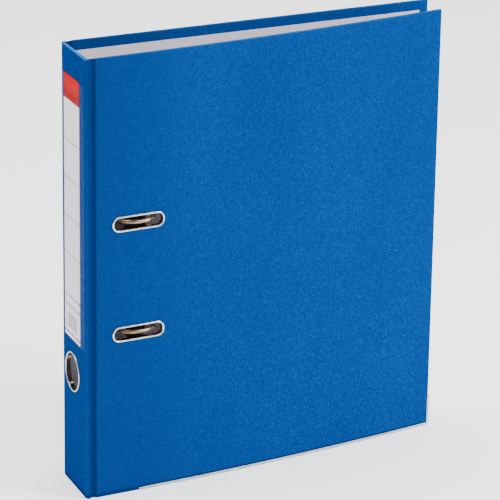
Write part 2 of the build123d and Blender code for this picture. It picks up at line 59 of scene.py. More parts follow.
# Settings of the Math, MapRange and Mix nodes.
ADD = {"operation": "ADD"}
SUBTRACT = {"operation": "SUBTRACT"}
MULTIPLY = {"operation": "MULTIPLY"}
MULTIPLY_ADD = {"operation": "MULTIPLY_ADD"}
MAXIMUM = {"operation": "MAXIMUM"}
GREATER = {"operation": "GREATER_THAN"}
COMPARE = {"operation": "COMPARE"}
DOT = {"operation": "DOT_PRODUCT"}
SMOOTH = {"interpolation_type": "SMOOTHSTEP"}
COLOURS = {"data_type": "RGBA"}


class Body(Enum):
    """The rigid bodies that new pieces ride on."""

    BACK = "back_cover"
    SPINE = "spine"
    FRONT = "front_cover"
    LABEL = "label"
    ARCHES = "arches"


class Slot(Enum):
    """The record's material slots, passed along with new pieces but not used."""

    COATING = "cover_coating"
    BOARD = "greyboard"
    LINING = "lining_paper"
    NICKEL = "nickel_steel"
    FILM = "clear_film"
    LABEL = "label_paper"
    SPRING = "spring_wire"


# ---- shape of the file ---------------------------------------------------------------------------


def axes(origin: Vector, x: Vector, y: Vector) -> Matrix:
    """Makes a transform from local millimetres to the frame's metres.

    Args:
        origin: Origin in millimetres.
        x: Unit vector of the local X.
        y: Unit vector of the local Y.

    Returns:
        The transform.
    """
    turn = Matrix((x, y, x.cross(y))).transposed().to_4x4()
    return Matrix.Translation(origin * MM) @ turn @ Matrix.Scale(MM, 4)


@dataclass(frozen=True)
class FileShape:
    """The sizes that the covers, the spine and the mechanism share, in millimetres."""

    height: float = 318.0
    foot: float = 0.4
    cover_width: float = 285.0
    spine_width: float = 50.3
    lean: float = math.radians(4.2)
    bow_radius: float = 2056.0
    cover: float = 2.4
    hinge_end: float = 8.0
    slot_from_spine: float = 39.4
    slot_heights: tuple[float, float] = (199.4, 119.4)
    corner: tuple[float, float] = (-140.858, 25.0437)
    mechanism_height: float = 158.8

    def back(self, along: float, inward: float) -> Vector:
        """Finds a place on the back cover.

        Args:
            along: Distance from the spine's corner.
            inward: Depth under the outer face.

        Returns:
            The place, seen from above.
        """
        return Vector((self.corner[0] + along, self.corner[1] - inward))

    def spine(self, along: float, inward: float) -> Vector:
        """Finds a place on the leaning spine.

        Args:
            along: Distance from the back corner towards the front.
            inward: Depth under the outer face.

        Returns:
            The place, seen from above.
        """
        s, c = math.sin(self.lean), math.cos(self.lean)
        return Vector((self.corner[0] - along * s + inward * c, self.corner[1] - along * c - inward * s))

    def spine_from_front(self, along: float, inward: float) -> Vector:
        """Finds a place on the spine, starting at the front corner.

        Args:
            along: Distance from the front corner towards the back.
            inward: Depth under the outer face.

        Returns:
            The place, seen from above.
        """
        return self.spine(self.spine_width - along, inward)

    def front(self, along: float, inward: float) -> Vector:
        """Finds a place on the bowed front cover.

        Args:
            along: Distance from the spine's outer face.
            inward: Depth under the outer face.

        Returns:
            The place, seen from above.
        """
        start = self.spine(self.spine_width, 0)
        turn = along / self.bow_radius
        reach = self.bow_radius - inward
        return Vector((start.x + reach * math.sin(turn), start.y + self.bow_radius - reach * math.cos(turn)))

    def mechanism(self, x: float, h: float, z: float) -> Vector:
        """Finds a place in the mechanism.

        Args:
            x: Distance from the back corner.
            h: Distance from the back cover's inner face.
            z: Height over the middle of the rings.

        Returns:
            The place in metres.
        """
        return MM * Vector((self.corner[0] + x, self.corner[1] - self.cover - h, self.mechanism_height + z))

    def slot_frame(self, height: float) -> Matrix:
        """Places a slot's own axes: X along the cover, Y up, Z outwards.

        Args:
            height: Height of the slot's middle.

        Returns:
            The transform from millimetres at the slot to metres.
        """
        turn = self.slot_from_spine / self.bow_radius
        at = self.front(self.slot_from_spine, 0)
        along = Vector((math.cos(turn), math.sin(turn), 0))
        return axes(Vector((at.x, at.y, height)), along, Vector((0, 0, 1)))

    def spine_frame(self, along: float, height: float) -> Matrix:
        """Places axes on the spine's outer face: X towards the front, Y up, Z outwards.

        Args:
            along: Distance from the back corner.
            height: Height over the floor.

        Returns:
            The transform from millimetres on the spine to metres.
        """
        at = self.spine(along, 0)
        side = Vector((-math.sin(self.lean), -math.cos(self.lean), 0))
        return axes(Vector((at.x, at.y, height)), side, Vector((0, 0, 1)))


# ---- mesh tools ------------------------------------------------------------------------------------


def shade_smooth(mesh: bmesh.types.BMesh, sharp: float) -> None:
    """Shades a mesh smooth between its sharp edges.

    Args:
        mesh: The mesh.
        sharp: Edges over this angle in degrees stay sharp.
    """
    for face in mesh.faces:
        face.smooth = True
    for edge in mesh.edges:
        if len(edge.link_faces) == 2:
            edge.smooth = edge.calc_face_angle() < math.radians(sharp)


def to_object(name: str, mesh: bmesh.types.BMesh, sharp: float = 32.0) -> bpy.types.Object:
    """Turns a mesh under construction into an object.

    Args:
        name: Name of the object.
        mesh: The mesh, which is freed.
        sharp: Edges over this angle in degrees stay sharp.

    Returns:
        The object, linked to the scene.
    """
    bmesh.ops.recalc_face_normals(mesh, faces=mesh.faces)
    shade_smooth(mesh, sharp)
    data = bpy.data.meshes.new(name)
    mesh.to_mesh(data)
    mesh.free()
    piece = bpy.data.objects.new(name, data)
    bpy.context.scene.collection.objects.link(piece)
    return piece


def points_in(geometry: list) -> list[bmesh.types.BMVert]:
    """Picks the vertices out of an operator's result."""
    return [item for item in geometry if isinstance(item, bmesh.types.BMVert)]


def pull(mesh: bmesh.types.BMesh, loop: list, move: Vector, grow: float = 1.0) -> list:
    """Extrudes a loop of edges along a straight line.

    Args:
        mesh: The mesh.
        loop: The loop's vertices and edges.
        move: How far it goes.
        grow: Factor on its size at the new place.

    Returns:
        The vertices and edges at the new place.
    """
    edges = [item for item in loop if isinstance(item, bmesh.types.BMEdge)]
    made = bmesh.ops.extrude_edge_only(mesh, edges=edges)["geom"]
    points = points_in(made)
    bmesh.ops.translate(mesh, verts=points, vec=move)
    if grow != 1.0:
        middle = sum((point.co for point in points), Vector()) / len(points)
        bmesh.ops.scale(mesh, verts=points, vec=(grow, grow, grow), space=Matrix.Translation(-middle))
    new = set(points)
    return points + [e for e in made if isinstance(e, bmesh.types.BMEdge) and set(e.verts) <= new]


def close_ends(mesh: bmesh.types.BMesh) -> None:
    """Caps the open ends of a swept mesh."""
    bmesh.ops.holes_fill(mesh, edges=[edge for edge in mesh.edges if edge.is_boundary], sides=0)


def slab(name: str, section: list[Pair], low: float, high: float, edge: float) -> bpy.types.Object:
    """Builds an upright board from its section, with rounded top and bottom edges.

    Args:
        name: Name of the object.
        section: Outer and inner points along the board, in millimetres.
        low: Height of the bottom.
        high: Height of the top.
        edge: Radius of the top and bottom edges.

    Returns:
        The object.
    """
    mesh = bmesh.new()
    rows = [[mesh.verts.new((point.x, point.y, low)) for point in pair] for pair in section]
    strip = [mesh.faces.new((*one, *reversed(two))) for one, two in zip(rows, rows[1:])]
    raised = bmesh.ops.extrude_face_region(mesh, geom=strip)["geom"]
    bmesh.ops.translate(mesh, verts=points_in(raised), vec=(0, 0, high - low))
    bmesh.ops.recalc_face_normals(mesh, faces=mesh.faces)
    mesh.normal_update()
    rims = [e for e in mesh.edges if sum(abs(face.normal.z) > 0.9 for face in e.link_faces) == 1]
    bmesh.ops.bevel(mesh, geom=rims, offset=edge, offset_type="OFFSET", segments=3, profile=0.5,
                    affect="EDGES", material=-1, clamp_overlap=False)
    bmesh.ops.scale(mesh, verts=mesh.verts, vec=(MM, MM, MM))
    return to_object(name, mesh)


@dataclass(frozen=True)
class Opening:
    """A rounded rectangle that a section can be swept round, in millimetres."""

    length: float
    height: float
    radius: float
    steps: int

    def sweep(self, name: str, section: list[tuple[float, float]], closed: bool, place: Matrix,
              sharp: float = 32.0) -> bpy.types.Object:
        """Sweeps a section round the opening.

        Args:
            name: Name of the object.
            section: Distances out of the opening and heights over the face.
            closed: True for a closed section; an open one is capped at both ends.
            place: Transform from the opening's axes to the frame.
            sharp: Edges over this angle in degrees stay sharp.

        Returns:
            The object.
        """
        mesh = bmesh.new()
        same = 1e-3
        x, y = self.length / 2 - self.radius, self.height / 2 - self.radius
        points = [mesh.verts.new((x + self.radius + out, y, rise)) for out, rise in section]
        after = points[1:] + points[:1] if closed else points[1:]
        loop = points + [mesh.edges.new(pair) for pair in zip(points, after)]
        corners = ((x, y, -x, 0), (-x, y, 0, -y), (-x, -y, x, 0), (x, -y, 0, y))
        for corner_x, corner_y, run_x, run_y in corners:
            loop = bmesh.ops.spin(mesh, geom=loop, cent=(corner_x, corner_y, 0), axis=(0, 0, 1),
                                  angle=math.pi / 2, steps=self.steps, use_duplicate=False)["geom_last"]
            side = Vector((run_x, run_y, 0)) * 2
            if side.length > same:
                loop = pull(mesh, loop, side)
        bmesh.ops.remove_doubles(mesh, verts=mesh.verts, dist=same)
        if not closed:
            close_ends(mesh)
        bmesh.ops.transform(mesh, matrix=place, verts=mesh.verts)
        return to_object(name, mesh, sharp)


def cut(piece: bpy.types.Object, cutter: bpy.types.Object, sharp: float = 32.0) -> None:
    """Cuts an opening out of a piece.

    Args:
        piece: The piece, whose mesh is replaced.
        cutter: The solid to remove, which is deleted.
        sharp: Edges over this angle in degrees stay sharp.
    """
    step = piece.modifiers.new("opening", "BOOLEAN")
    step.operation, step.solver, step.object = "DIFFERENCE", "EXACT", cutter
    graph = bpy.context.evaluated_depsgraph_get()
    result = bpy.data.meshes.new_from_object(piece.evaluated_get(graph))
    piece.modifiers.clear()
    piece.data = result
    bpy.data.objects.remove(cutter)
    mesh = bmesh.new()
    mesh.from_mesh(result)
    shade_smooth(mesh, sharp)
    mesh.to_mesh(result)
    mesh.free()


@dataclass(frozen=True)
class WireBender:
    """Forms round wire."""

    sides: int
    steps: int

    def start(self, mesh: bmesh.types.BMesh, at: Vector, ahead: Vector, radius: float) -> list:
        """Makes the wire's first end.

        Args:
            mesh: The mesh.
            at: Middle of the end, in metres.
            ahead: Direction of the wire.
            radius: Radius of the end, in metres.

        Returns:
            The end's vertices and edges.
        """
        place = Matrix.Translation(at) @ ahead.to_track_quat("Z", "Y").to_matrix().to_4x4()
        points = bmesh.ops.create_circle(mesh, segments=self.sides, radius=radius, matrix=place)["verts"]
        return points + list(mesh.edges)

    def bend(self, name: str, corners: list[Vector], radii: list[float],
             nose: list[tuple[float, float]]) -> bpy.types.Object:
        """Bends a wire at its corners.

        Args:
            name: Name of the object.
            corners: The corners and both ends, in metres.
            radii: Bend radius at each inner corner, in metres.
            nose: Distances past the end and wire radii there, from the tip to the full wire.

        Returns:
            The object.
        """
        mesh = bmesh.new()
        ahead = (corners[1] - corners[0]).normalized()
        loop = self.start(mesh, corners[0] - ahead * nose[0][0], ahead, nose[0][1])
        for (far, thin), (near, wide) in zip(nose, nose[1:]):
            loop = pull(mesh, loop, ahead * (far - near), wide / thin)
        at = corners[0]
        for before, corner, after, radius in zip(corners, corners[1:], corners[2:], radii):
            one, two = (before - corner).normalized(), (after - corner).normalized()
            half = one.angle(two) / 2
            run = radius / math.tan(half)
            centre = corner + (one + two).normalized() * radius / math.sin(half)
            first, last = corner + one * run, corner + two * run
            loop = pull(mesh, loop, first - at)
            axis = (first - centre).cross(last - centre).normalized()
            loop = bmesh.ops.spin(mesh, geom=loop, cent=centre, axis=axis, angle=math.pi - 2 * half,
                                  steps=self.steps, use_duplicate=False)["geom_last"]
            at = last
        ahead = (corners[-1] - corners[-2]).normalized()
        loop = pull(mesh, loop, corners[-1] - at)
        tip = nose[::-1]
        for (near, wide), (far, thin) in zip(tip, tip[1:]):
            loop = pull(mesh, loop, ahead * (far - near), thin / wide)
        close_ends(mesh)
        return to_object(name, mesh, sharp=50.0)

    def coil(self, name: str, middle: Vector, start: Vector, rise: float, turns: float,
             radius: float) -> bpy.types.Object:
        """Winds a coil upwards; the bender's steps are those of one turn.

        Args:
            name: Name of the object.
            middle: A place on the coil's axis, in metres.
            start: Where the wire starts.
            rise: Height of the coil.
            turns: How often it goes round.
            radius: Radius of the wire.

        Returns:
            The object.
        """
        mesh = bmesh.new()
        angle = 2 * math.pi * turns
        ahead = (start - middle).cross(Vector((0, 0, 1))) + Vector((0, 0, rise / angle))
        loop = self.start(mesh, start, ahead.normalized(), radius)
        count = int(turns * self.steps)
        bmesh.ops.spin(mesh, geom=loop, cent=middle, axis=(0, 0, -1), dvec=(0, 0, rise / count),
                       angle=angle, steps=count, use_duplicate=False)
        close_ends(mesh)
        return to_object(name, mesh, sharp=50.0)


# ---- materials ----------------------------------------------------------------------------------------


def colour(code: str) -> tuple[float, float, float, float]:
    """Converts an sRGB hex code to the linear colour that nodes take.

    Args:
        code: Six hex digits after a #.

    Returns:
        Linear red, green, blue and alpha.
    """
    parts = [int(code[i:i + 2], 16) / 255 for i in (1, 3, 5)]
    linear = [p / 12.92 if p <= 0.04045 else ((p + 0.055) / 1.055) ** 2.4 for p in parts]
    return (*linear, 1.0)


def per_size(x: float = 1.0, y: float = 1.0, z: float = 1.0) -> Size:
    """Gives the mapping scale at which one unit of a pattern is that many millimetres."""
    return (PER_METRE / x, PER_METRE / y, PER_METRE / z)


@dataclass
class Recipe:
    """A material's node tree while it is written."""

    name: str
    material: bpy.types.Material = field(init=False)
    surface: bpy.types.Node = field(init=False)

    def __post_init__(self) -> None:
        """Starts from Blender's plain Principled material."""
        self.material = bpy.data.materials.new(self.name)
        self.material.use_nodes = True
        self.surface = self.material.node_tree.nodes["Principled BSDF"]

    def add(self, kind: str, settings: dict | None = None, *inputs: object, out: int | str = 0,
            **named: object) -> Socket:
        """Adds a node with its settings and links.

        Args:
            kind: Blender's type name, without the ShaderNode prefix.
            settings: The node's own options.
            *inputs: Values or output sockets, in the order of the node's inputs.
            out: Which output to give back.
            **named: The same by input name with _ for a space, or by i and index.

        Returns:
            The output socket.
        """
        made = self.material.node_tree.nodes.new("ShaderNode" + kind)
        for key, value in (settings or {}).items():
            setattr(made, key, value)
        self.feed(made, *inputs, **named)
        return made.outputs[out]

    def feed(self, target: bpy.types.Node, *inputs: object, **named: object) -> None:
        """Sets or links a node's inputs.

        Args:
            target: The node.
            *inputs: Values or output sockets, in the order of the node's inputs.
            **named: The same by input name with _ for a space, or by i and index.
        """
        for key, value in [*enumerate(inputs), *named.items()]:
            if isinstance(key, str):
                key = int(key[1:]) if key[1:].isdigit() else key.replace("_", " ")
            if isinstance(value, Socket):
                self.material.node_tree.links.new(value, target.inputs[key])
            else:
                target.inputs[key].default_value = value

    def coat(self, **inputs: object) -> None:
        """Sets or links inputs of the material's surface shader."""
        self.feed(self.surface, **inputs)

    def finish(self, height: Socket, relief: float, **surface: object) -> bpy.types.Material:
        """Sets the surface shader and its relief, which ends the recipe.

        Args:
            height: Height of the surface, 0 to 1.
            relief: Depth of the relief in millimetres.
            **surface: Values or output sockets for the surface shader.

        Returns:
            The material.
        """
        normal = self.add("Bump", out="Normal", Strength=1.0, Distance=relief * MM, Height=height)
        self.coat(Normal=normal, **surface)
        return self.material


@dataclass(frozen=True)
class EmbossedCoating:
    """Blue coated paper with a fine embossed grain, wrapped round the boards."""

    base: str = "#003f7b"
    # The darker tone, which also paints shade into the grain's hollows.
    hollow_shade_and_tone: str = "#00296a"
    # Pale edge colour: painted highlight on the top edges, wear on the bottom edges.
    edge_wear_and_highlight: str = "#2d74b8"
    gloss: str = "#5f9fe0"
    # Painted highlight on the grain's highest spots.
    raised: str = "#1b6aa4"
    # Painted shadow colour, for the line above the rail's lip and for the hinges' grooves.
    painted_shadow: str = "#002258"
    grain: float = 1.6
    pore: float = 1.7
    drift: Size = (70.0, 70.0, 200.0)
    streak: Size = (1.1, 1.1, 6.2)
    relief: float = 0.2
    top: float = 318.0
    lip: float = 2.9
    smooth_until: float = -110.0
    full_from: float = 40.0
    hinges: tuple[tuple[float, float], ...] = ((-144.54, -1.0), (-140.86, 1.0))

    def painted_hinge_shade(self, recipe: Recipe, at: Socket) -> Socket:
        """Paints shade into the hinges' grooves, and a little onto the cover beside them.

        Args:
            recipe: The material being written.
            at: Place in millimetres.

        Returns:
            The share of the painted shadow colour.
        """
        add = recipe.add
        east, north = (add("SeparateXYZ", out=axis, Vector=at) for axis in ("X", "Y"))
        total = None
        for corner, hand in self.hinges:
            along = add("Math", SUBTRACT, east, corner)
            rise = add("MapRange", SMOOTH, along, 1.0, 3.0)
            fall = add("MapRange", SMOOTH, along, 6.8, 9.4, 0.85, 0.0)
            # Painted shade in the groove.
            groove = add("Math", MULTIPLY, rise, fall)
            rise = add("MapRange", SMOOTH, along, 3.0, 6.0)
            fall = add("MapRange", SMOOTH, along, 8.0, 95.0, 0.34, 0.0)
            # Fainter painted shade on the cover beside the hinge.
            bend = add("Math", MULTIPLY, rise, fall)
            shade = add("Math", MAXIMUM, groove, bend)
            outward = add("Math", MULTIPLY, north, hand)
            side = add("MapRange", SMOOTH, outward, 12.0, 16.0)
            shade = add("Math", MULTIPLY, shade, side)
            total = shade if total is None else add("Math", MAXIMUM, total, shade)
        return total

    def make(self) -> bpy.types.Material:
        """Builds the material.

        Returns:
            The material.
        """
        # A matt skin whose grain glints blue on its flanks, with painted shade in its hollows and a painted
        # highlight on its highest spots.
        recipe = Recipe("embossed_blue_coating")
        add = recipe.add
        where = add("TexCoord", out="Object")
        at = add("Mapping", Vector=where, Scale=per_size())
        grain = add("TexNoise", Vector=at, Scale=1 / self.grain, Detail=4.0, Roughness=0.62, Distortion=0.6)
        pores = add("TexVoronoi", {"feature": "SMOOTH_F1"}, Vector=at, Scale=1 / self.pore, Smoothness=0.6)
        clouds = add("Mapping", Vector=where, Scale=per_size(*self.drift))
        drift = add("TexNoise", Vector=clouds, Scale=1.0, Detail=2.0, Roughness=0.5)
        threads = add("Mapping", Vector=where, Scale=per_size(*self.streak))
        streak = add("TexNoise", Vector=threads, Scale=1.0, Detail=3.0, Roughness=0.6)
        across, up = (add("SeparateXYZ", out=axis, Vector=at) for axis in ("X", "Z"))
        depth = add("MapRange", SMOOTH, across, self.smooth_until, self.full_from, 0.1, 1.0)

        # Painted shade: the grain's hollows are darker than its hills; faint upright streaks and broad clouds vary
        # the tone.
        painted_hill_light = add("MapRange", SMOOTH, grain, 0.3, 0.75)
        tone = add("Math", MULTIPLY, drift, 0.4)
        tone = add("Math", MULTIPLY_ADD, painted_hill_light, 0.55, tone)
        line = add("MapRange", SMOOTH, streak, 0.35, 0.7)
        tone = add("Math", MULTIPLY_ADD, line, 0.2, tone)
        shade = add("Mix", COLOURS, tone, i6=colour(self.hollow_shade_and_tone), i7=colour(self.base), out=2)

        # Painted highlight: the highest spots are paler still, more in some places than in others.
        peak = add("MapRange", SMOOTH, grain, 0.55, 0.75)
        patch = add("MapRange", SMOOTH, drift, 0.4, 0.7, 0.2, 0.45)
        painted_glint = add("Math", MULTIPLY, peak, patch)
        painted_glint = add("Math", MULTIPLY, painted_glint, depth)
        shade = add("Mix", COLOURS, painted_glint, i6=shade, i7=colour(self.raised), out=2)

        # A painted highlight makes the top edges pale, most at the spine, and the shelf rubs the bottom edges.
        painted_top_highlight = add("MapRange", SMOOTH, up, self.top - 0.7, self.top - 0.1)
        broken = add("MapRange", SMOOTH, grain, 0.25, 0.6, 0.35, 0.8)
        painted_top_highlight = add("Math", MULTIPLY, painted_top_highlight, broken)
        spine = add("MapRange", SMOOTH, across, -141.0, -134.0, 1.0, 0.3)
        painted_top_highlight = add("Math", MULTIPLY, painted_top_highlight, spine)
        scuff = add("MapRange", SMOOTH, up, 0.6, 1.4, 0.4, 0.0)
        edge = add("Math", MAXIMUM, painted_top_highlight, scuff)
        shade = add("Mix", COLOURS, edge, i6=shade, i7=colour(self.edge_wear_and_highlight), out=2)

        # Painted shadow: a dark line just above the rail's lip, and painted shade in the hinges' grooves and on the
        # cover beside them.
        painted_lip_shadow = add("MapRange", SMOOTH, up, self.lip, self.lip + 0.8, 0.9, 0.0)
        shade = add("Mix", COLOURS, painted_lip_shadow, i6=shade, i7=colour(self.painted_shadow), out=2)
        shade = add("Mix", COLOURS, self.painted_hinge_shade(recipe, at), i6=shade, i7=colour(self.painted_shadow), out=2)
        matt = add("MapRange", SMOOTH, grain, 0.3, 0.7, 0.6, 0.46)
        recipe.coat(Base_Color=shade, Roughness=matt, Metallic=0.16, IOR=1.45, Specular_IOR_Level=0.0,
                    Specular_Tint=colour(self.gloss))

        # The relief is rolled nearly flat near the spine.
        height = add("Math", MULTIPLY_ADD, pores, 0.5, grain)
        strength = add("Math", MULTIPLY_ADD, depth, 0.75, 0.25)
        height = add("Math", MULTIPLY, height, strength)
        return recipe.finish(height, self.relief)


@dataclass(frozen=True)
class LiningPaper:
    """Pale grey wood-free paper, glued over the turned-in edges."""

    base: str = "#c3bdc6"
    fleck: str = "#aaa5b2"
    fibre: Size = (1.4, 1.4, 0.4)
    cloud: float = 16.0
    relief: float = 0.03

    def make(self) -> bpy.types.Material:
        """Builds the material.

        Returns:
            The material.
        """
        # Quite matt: only short fibres and a faint cloudiness show.
        recipe = Recipe("grey_lining_paper")
        add = recipe.add
        where = add("TexCoord", out="Object")
        fibres = add("Mapping", Vector=where, Scale=per_size(*self.fibre))
        fibre = add("TexNoise", Vector=fibres, Scale=1.0, Detail=4.0, Roughness=0.65, Distortion=0.8)
        at = add("Mapping", Vector=where, Scale=per_size())
        cloud = add("TexNoise", Vector=at, Scale=1 / self.cloud, Detail=3.0, Roughness=0.5)
        fleck = add("MapRange", SMOOTH, fibre, 0.42, 0.72)
        amount = add("Math", MULTIPLY, cloud, 0.35)
        amount = add("Math", MULTIPLY_ADD, fleck, 0.5, amount)
        shade = add("Mix", COLOURS, amount, i6=colour(self.base), i7=colour(self.fleck), out=2)
        return recipe.finish(fibre, self.relief, Base_Color=shade, Roughness=0.82, IOR=1.4)


@dataclass(frozen=True)
class Greyboard:
    """Raw recycled board, seen only inside."""

    base: str = "#8d857b"
    fleck: str = "#6f685f"
    fibre: Size = (1.1, 1.1, 3.3)
    relief: float = 0.08

    def make(self) -> bpy.types.Material:
        """Builds the material.

        Returns:
            The material.
        """
        # Coarse, flecked and without any gloss.
        recipe = Recipe("recycled_greyboard")
        add = recipe.add
        at = add("Mapping", Vector=add("TexCoord", out="Object"), Scale=per_size(*self.fibre))
        fibre = add("TexNoise", Vector=at, Scale=1.0, Detail=5.0, Roughness=0.7)
        amount = add("MapRange", SMOOTH, fibre, 0.4, 0.7)
        shade = add("Mix", COLOURS, amount, i6=colour(self.base), i7=colour(self.fleck), out=2)
        return recipe.finish(fibre, self.relief, Base_Color=shade, Roughness=0.9)


@dataclass(frozen=True)
class PlatedSteel:
    """Steel with a plating; marks and haze differ from part to part."""

    name: str = "bright_nickel_plating"
    base: str = "#c9ccd0"
    haze: str = "#a5a8ad"
    rough: tuple[float, float] = (0.08, 0.2)
    cloud: float = 2.0
    draw: Size = (1.0, 1.0, 1.0)
    relief: float = 0.004
    # Painted shade: the metal turns this colour below the face that a rolled piece sits in.
    barrel: str = "#94826f"

    def make(self, face: Matrix | None = None) -> bpy.types.Material:
        """Builds the material.

        Args:
            face: Axes of the face that a rolled piece sits in; the metal under it gets painted shade.

        Returns:
            The material.
        """
        # Bright metal with a faint haze and rubbed marks, which soften its reflections in places.
        recipe = Recipe(self.name)
        add = recipe.add
        where = add("TexCoord", out="Object")
        at = add("Mapping", Vector=where, Scale=per_size(*self.draw))
        haze = add("TexNoise", Vector=at, Scale=1 / self.cloud, Detail=4.0, Roughness=0.6)
        marks = add("TexNoise", Vector=at, Scale=9 / self.cloud, Detail=3.0, Roughness=0.6, Distortion=1.0)
        amount = add("MapRange", SMOOTH, haze, 0.35, 0.7)
        shade = add("Mix", COLOURS, amount, i6=colour(self.base), i7=colour(self.haze), out=2)
        # Painted shade inside the barrel, below the face.
        if face:
            row = face.inverted()[2]
            lift = add("VectorMath", DOT, where, tuple(row[:3]), out="Value")
            lift = add("Math", ADD, lift, row[3])
            under = add("MapRange", SMOOTH, lift, 0.0, 0.5, 1.0, 0.0)
            shade = add("Mix", COLOURS, under, i6=shade, i7=colour(self.barrel), out=2)
        dull = add("MapRange", SMOOTH, haze, 0.3, 0.7, self.rough[0], self.rough[1])
        rubbed = add("MapRange", SMOOTH, marks, 0.5, 0.8)
        spread = add("Math", MULTIPLY_ADD, rubbed, 0.06, dull)
        return recipe.finish(marks, self.relief, Base_Color=shade, Metallic=1.0, Roughness=spread)


@dataclass(frozen=True)
class MouldedPlastic:
    """Black moulded plastic with a fine spark-eroded skin."""

    base: str = "#26221f"
    dust: str = "#3a3531"
    skin: float = 0.25
    relief: float = 0.015

    def make(self) -> bpy.types.Material:
        """Builds the material.

        Returns:
            The material.
        """
        # The eroded mould leaves a fine, even roughness that greys the black.
        recipe = Recipe("black_moulded_plastic")
        add = recipe.add
        at = add("Mapping", Vector=add("TexCoord", out="Object"), Scale=per_size())
        skin = add("TexNoise", Vector=at, Scale=1 / self.skin, Detail=3.0, Roughness=0.6)
        amount = add("MapRange", SMOOTH, skin, 0.4, 0.8)
        shade = add("Mix", COLOURS, amount, i6=colour(self.base), i7=colour(self.dust), out=2)
        matt = add("MapRange", SMOOTH, skin, 0.3, 0.7, 0.4, 0.55)
        return recipe.finish(skin, self.relief, Base_Color=shade, Roughness=matt)


@dataclass(frozen=True)
class WeldedFilm:
    """Clear film, welded down at its edges."""

    tint: str = "#dfe8f2"
    alpha: float = 0.014
    ripple: Size = (4.0, 4.0, 110.0)
    relief: float = 0.02

    def make(self) -> bpy.types.Material:
        """Builds the material.

        Returns:
            The material.
        """
        # Nearly invisible: only long, low ripples give it away.
        recipe = Recipe("clear_welded_film")
        add = recipe.add
        at = add("Mapping", Vector=add("TexCoord", out="Object"), Scale=per_size(*self.ripple))
        ripple = add("TexNoise", Vector=at, Scale=1.0, Detail=2.0, Roughness=0.5)
        gloss = add("MapRange", SMOOTH, ripple, 0.3, 0.7, 0.12, 0.22)
        milk = add("MapRange", SMOOTH, ripple, 0.3, 0.7, self.alpha * 0.8, self.alpha * 1.2)
        return recipe.finish(ripple, self.relief, Base_Color=colour(self.tint), IOR=1.4, Specular_IOR_Level=0.03,
                             Roughness=gloss, Alpha=milk)


@dataclass(frozen=True)
class LabelPrint:
    """Printed label: a red head, thin ruled lines, two text-like rules and a small block of bars."""

    low: float
    high: float
    middle: float
    paper: str = "#e4dde6"
    head: str = "#b4060a"
    head_band: str = "#7c0309"
    ink: str = "#1b191f"
    head_height: float = 17.5
    rules: tuple[float, ...] = (60.8, 88.1, 115.4, 142.7)
    text_rules: tuple[float, ...] = (30.2, 23.4, 3.2)
    bars: tuple[float, float] = (7.0, 18.0)
    bars_half: float = 9.0
    bar: float = 1.6
    tooth: float = 0.6
    dash: Size = (0.42, 0.42, 100.0)
    relief: float = 0.01

    def lines(self, recipe: Recipe, where: Socket, up: Socket, across: Socket) -> Socket:
        """Draws the ruled lines, the rows of dashes and the bars.

        Args:
            recipe: The material being written.
            where: Place in metres.
            up: Height over the label's bottom, in millimetres.
            across: Distance from the back corner, in millimetres.

        Returns:
            The share of ink.
        """
        add = recipe.add
        lines = None
        for height in self.rules:
            line = add("Math", COMPARE, up, height, 0.34)
            line = add("Math", MULTIPLY, line, 0.75)
            lines = line if lines is None else add("Math", MAXIMUM, lines, line)
        words = add("Mapping", Vector=where, Scale=per_size(*self.dash))
        dash = add("TexNoise", Vector=words, Scale=1.0, Detail=0.0, Roughness=0.5)
        dash = add("Math", GREATER, dash, 0.42)
        for height in self.text_rules:
            line = add("Math", COMPARE, up, height, 0.62)
            line = add("Math", MULTIPLY, line, dash)
            lines = add("Math", MAXIMUM, lines, line)
        steps = add("Math", MULTIPLY, across, 1 / self.bar)
        wave = add("TexNoise", {"noise_dimensions": "1D"}, W=steps, Scale=1.0)
        bar = add("Math", GREATER, wave, 0.5)
        low, high = self.bars
        block = add("Math", COMPARE, up, (low + high) / 2, (high - low) / 2)
        inside = add("Math", COMPARE, across, self.middle, self.bars_half)
        bar = add("Math", MULTIPLY, bar, block)
        bar = add("Math", MULTIPLY, bar, inside)
        lines = add("Math", MAXIMUM, lines, bar)
        return add("Math", MULTIPLY, lines, 0.85)

    def make(self, to_spine: Matrix) -> bpy.types.Material:
        """Builds the material.

        Args:
            to_spine: Transform from the frame to millimetres on the spine.

        Returns:
            The material.
        """
        # Uncoated printed card: matt, with a slight tooth.
        recipe = Recipe("printed_label_paper")
        add = recipe.add
        where = add("TexCoord", out="Object")
        row = to_spine[0]
        across = add("VectorMath", DOT, where, tuple(row[:3]), out="Value")
        across = add("Math", ADD, across, row[3])
        rise = add("SeparateXYZ", out="Z", Vector=where)
        up = add("Math", MULTIPLY_ADD, rise, PER_METRE, -self.low)
        at = add("Mapping", Vector=where, Scale=per_size())
        tooth = add("TexNoise", Vector=at, Scale=1 / self.tooth, Detail=4.0, Roughness=0.6)
        fleck = add("MapRange", SMOOTH, tooth, 0.35, 0.75, 0.0, 0.08)
        shade = add("Mix", COLOURS, fleck, i6=colour(self.paper), i7=colour(self.ink), out=2)
        ink = self.lines(recipe, where, up, across)
        shade = add("Mix", COLOURS, ink, i6=shade, i7=colour(self.ink), out=2)
        start = self.high - self.low - self.head_height
        head = add("Math", GREATER, up, start)
        band = add("MapRange", SMOOTH, up, start + 4.0, start + 9.0, 0.6, 0.0)
        red = add("Mix", COLOURS, band, i6=colour(self.head), i7=colour(self.head_band), out=2)
        shade = add("Mix", COLOURS, head, i6=shade, i7=red, out=2)
        return recipe.finish(tooth, self.relief, Base_Color=shade, Roughness=0.6, Specular_IOR_Level=0.0)


